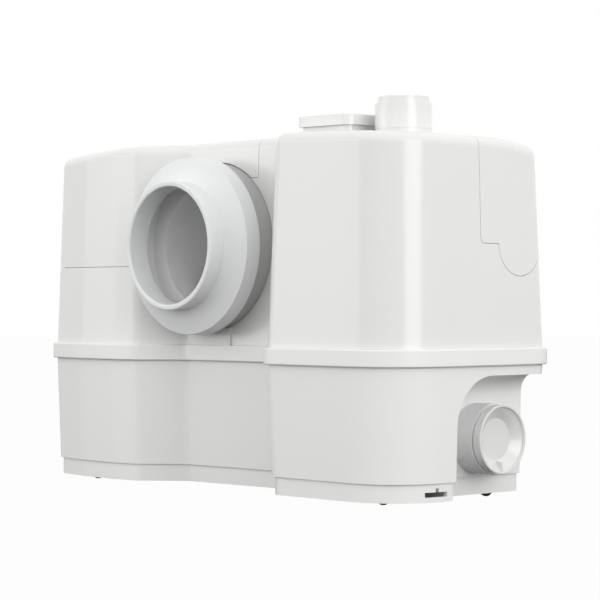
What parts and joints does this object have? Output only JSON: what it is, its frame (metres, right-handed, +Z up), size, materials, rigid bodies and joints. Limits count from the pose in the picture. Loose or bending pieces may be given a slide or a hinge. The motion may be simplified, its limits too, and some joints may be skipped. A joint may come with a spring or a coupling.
{
  "type": "macerator toilet pump",
  "caption": "Box-shaped macerator pump unit for behind a toilet, with a rubber pan collar, capped side inlet, discharge stub, filter vent and lift-off service cover",
  "frame": {"origin": "centre of the bounding box in plan, at floor level under the rubber feet", "axes": "+Z up, +X along the body towards the block with the discharge stub and side inlet, -Y towards the toilet pan"},
  "size_m": [0.4144, 0.1714, 0.2855],
  "materials": {
    "casing_white": "moulded gloss white",
    "tank_white": "moulded gloss white",
    "collar_rubber": "matt white rubber",
    "grey_plastic": "moulded grey",
    "dark_plastic": "moulded dark grey",
    "seal_rubber": "black rubber",
    "steel": "stainless steel",
    "laminated_steel": "varnished steel sheets",
    "copper_winding": "enamelled wire",
    "cast_alloy": "cast alloy",
    "board_green": "laminate",
    "filter_black": "granules in a grey frame"
  },
  "bodies": {
    "base": {"tank": "tank_white", "tank_seal": "seal_rubber", "tank_lid": "tank_white", "lid_screws": "steel", "rubber_feet": "seal_rubber", "upper_housing": "casing_white", "wc_collar": "collar_rubber", "wc_elbow": "grey_plastic", "elbow_seal": "seal_rubber", "side_inlet_sleeve": "collar_rubber", "flap_pins": "steel", "motor_flange": "cast_alloy", "motor_screws": "steel", "motor_can": "laminated_steel", "motor_end_cap": "cast_alloy", "stator_core": "laminated_steel", "stator_windings": "copper_winding", "motor_bearings": "steel", "shaft_seal": "seal_rubber", "pump_column": "grey_plastic", "pump_casing": "grey_plastic", "cutter_ring": "steel", "pressure_pipe": "grey_plastic", "pipe_hose": "seal_rubber", "hose_clamps": "steel", "check_valve_body": "grey_plastic", "discharge_connector": "casing_white", "vent_neck": "casing_white", "carbon_filter": "filter_black", "pressure_bell": "grey_plastic", "level_switch": "dark_plastic", "control_box": "dark_plastic", "control_box_lid": "dark_plastic", "circuit_board": "board_green", "capacitor": "grey_plastic", "cable_gland": "dark_plastic"},
    "cover": {"service_cover": "casing_white"},
    "rotor": {"motor_shaft": "steel", "rotor_core": "laminated_steel", "impeller": "dark_plastic", "cutter_head": "steel", "cutter_nut": "steel"},
    "delivery_flap": {"valve_flap": "seal_rubber"},
    "inlet_flap": {"side_inlet_flap": "seal_rubber"},
    "stopper": {"side_inlet_stopper": "casing_white"},
    "vent_cap": {"vent_cap": "casing_white"},
    "plunger": {"switch_plunger": "collar_rubber"}
  },
  "joints": [
    {"name": "cover_lift", "type": "slide", "parent": "base", "child": "cover", "axis": [0, 0, 1], "range_m": [0, 0.11]},
    {"name": "rotor_spin", "type": "hinge", "parent": "base", "child": "rotor", "pos_m": [-0.144, -0.008, 0.1], "axis": [0, 0, 1], "continuous": true},
    {"name": "delivery_flap_swing", "type": "hinge", "parent": "base", "child": "delivery_flap", "pos_m": [0.136, -0.021, 0.166], "axis": [0, -1, 0], "range_deg": [0, 60]},
    {"name": "inlet_flap_swing", "type": "hinge", "parent": "base", "child": "inlet_flap", "pos_m": [0.1565, 0.03, 0.066], "axis": [0, 1, 0], "range_deg": [0, 50]},
    {"name": "stopper_pull", "type": "slide", "parent": "base", "child": "stopper", "axis": [1, 0, 0], "range_m": [0, 0.04]},
    {"name": "vent_cap_pull", "type": "slide", "parent": "base", "child": "vent_cap", "axis": [0, 0, 1], "range_m": [0, 0.03]},
    {"name": "plunger_press", "type": "slide", "parent": "base", "child": "plunger", "axis": [0, 0, -1], "range_m": [0, 0.0012], "stiffness_N_per_m": 300}
  ]
}
